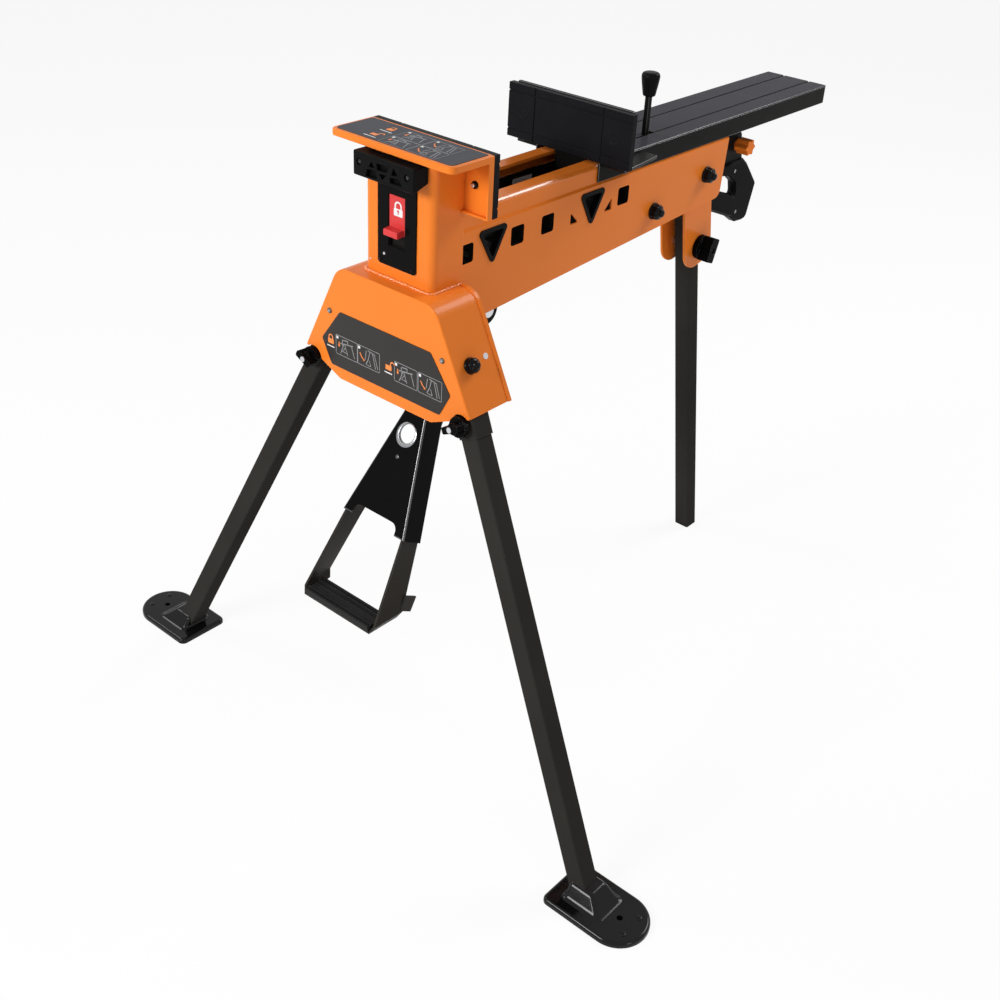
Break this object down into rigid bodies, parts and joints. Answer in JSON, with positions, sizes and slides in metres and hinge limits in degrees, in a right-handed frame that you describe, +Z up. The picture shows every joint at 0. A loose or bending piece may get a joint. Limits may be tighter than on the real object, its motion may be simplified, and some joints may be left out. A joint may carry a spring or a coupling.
{
  "type": "clamping work stand",
  "caption": "Folding clamping stand: a box beam on splayed front legs and a rear leg, a fixed jaw, a sliding jaw on rails, and a foot pedal that pulls the jaw shut.",
  "frame": {"origin": "on the floor, under the middle of the stand", "axes": "+Z up, +X along the beam from the fixed jaw to the rear, +Y to the left of someone at the pedal"},
  "size_m": [1.1202, 1.09, 0.963],
  "materials": {
    "orange_paint": "glossy powder coat",
    "black_paint": "satin powder coat",
    "black_plastic": "fine grained",
    "black_screws": "blackened steel",
    "tread_rubber": "matt",
    "red_plastic": "smooth",
    "orange_plastic": "smooth",
    "printed_sheet": "smooth film",
    "bare_steel": "zinc plated"
  },
  "bodies": {
    "frame": {"left_beam_side": "orange_paint", "right_beam_side": "orange_paint", "window_bezels": "black_plastic", "beam_bolts": "bare_steel", "dome_caps": "black_plastic", "beam_tray": "black_paint", "beam_bulkheads": "black_paint", "jaw_table": "orange_paint", "table_sheet": "printed_sheet", "fixed_jaw_pad": "black_plastic", "front_column": "orange_paint", "front_grip": "black_plastic", "front_screws": "black_screws", "switch_plate": "black_plastic", "leg_housing": "orange_paint", "housing_rear_plate": "orange_paint", "housing_label_panel": "printed_sheet", "pivot_plates": "black_paint", "leg_pivot_bolts": "bare_steel", "rear_bracket": "orange_paint", "rear_pivot_bolt": "bare_steel", "handle_tang": "black_paint", "left_handle_half": "black_plastic", "right_handle_half": "black_plastic", "handle_screws": "bare_steel", "pedal_axle": "bare_steel", "pedal_hanger": "black_paint", "return_spring": "bare_steel"},
    "left_leg": {"left_leg_sleeve": "black_paint", "left_leg_tube": "black_paint", "left_foot": "black_paint"},
    "right_leg": {"right_leg_sleeve": "black_paint", "right_leg_tube": "black_paint", "right_foot": "black_paint"},
    "left_knob": {"left_leg_knob": "black_plastic", "left_leg_knob_bolt": "bare_steel"},
    "right_knob": {"right_leg_knob": "black_plastic", "right_leg_knob_bolt": "bare_steel"},
    "rear_leg": {"rear_leg_tube": "black_paint", "rear_leg_plug": "black_plastic"},
    "rear_knob": {"rear_leg_knob": "black_plastic"},
    "star": {"star_knob": "orange_plastic", "star_stud": "bare_steel"},
    "lock": {"lock_slider": "red_plastic", "lock_bar": "bare_steel"},
    "pedal": {"pedal_plate": "black_paint", "pedal_loop": "black_paint", "pedal_tread": "tread_rubber", "crank_pin": "bare_steel"},
    "drive": {"drive_bar": "bare_steel", "clutch": "bare_steel"},
    "jaw": {"saddle_channel": "black_paint", "saddle_cover": "black_plastic", "jaw_bracket": "black_paint", "sliding_jaw_pad": "black_plastic", "traction_bar": "bare_steel", "glide_pads": "black_plastic", "lever_bracket": "black_paint"},
    "lever": {"lever_arm": "bare_steel", "lever_knob": "black_plastic"}
  },
  "joints": [
    {"name": "left_leg_fold", "type": "hinge", "parent": "frame", "child": "left_leg", "pos_m": [-0.43395, 0.11, 0.681], "axis": [0, -0.8973, -0.4414], "range_deg": [0, 95]},
    {"name": "right_leg_fold", "type": "hinge", "parent": "frame", "child": "right_leg", "pos_m": [-0.43395, -0.11, 0.681], "axis": [0, -0.8973, 0.4414], "range_deg": [0, 95]},
    {"name": "left_knob_turn", "type": "hinge", "parent": "left_leg", "child": "left_knob", "pos_m": [-0.44068, 0.14208, 0.61578], "axis": [-0.9957, -0.0407, 0.0828], "continuous": true},
    {"name": "right_knob_turn", "type": "hinge", "parent": "right_leg", "child": "right_knob", "pos_m": [-0.44068, -0.14208, 0.61578], "axis": [-0.9957, 0.0407, 0.0828], "continuous": true},
    {"name": "rear_leg_fold", "type": "hinge", "parent": "frame", "child": "rear_leg", "pos_m": [0.26215, 0, 0.639], "axis": [0, 1, 0], "range_deg": [0, 70]},
    {"name": "rear_knob_turn", "type": "hinge", "parent": "frame", "child": "rear_knob", "pos_m": [0.26215, -0.035, 0.639], "axis": [0, -1, 0], "continuous": true},
    {"name": "star_knob_turn", "type": "hinge", "parent": "frame", "child": "star", "pos_m": [0.38115, -0.015, 0.787], "axis": [0, -1, 0], "continuous": true},
    {"name": "lock_slide", "type": "slide", "parent": "frame", "child": "lock", "axis": [0, 0, 1], "range_m": [-0.018, 0]},
    {"name": "pedal_press", "type": "hinge", "parent": "frame", "child": "pedal", "pos_m": [-0.28785, 0, 0.689], "axis": [0, -1, 0], "range_deg": [0, 20], "stiffness_Nm_per_rad": 12, "springref_deg": -34.38},
    {"name": "drive_slide", "type": "slide", "parent": "frame", "child": "drive", "axis": [-1, 0, 0], "range_m": [0, 0.01885]},
    {"name": "jaw_slide", "type": "slide", "parent": "frame", "child": "jaw", "axis": [1, 0, 0], "range_m": [-0.268, 0.2]},
    {"name": "lever_swing", "type": "hinge", "parent": "jaw", "child": "lever", "pos_m": [0.06715, -0.0215, 0.85], "axis": [0, 1, 0], "range_deg": [0, 30]}
  ],
  "couplings": [
    {"joint": "drive_slide", "follows": "pedal_press", "m_per_rad": 0.054}
  ]
}
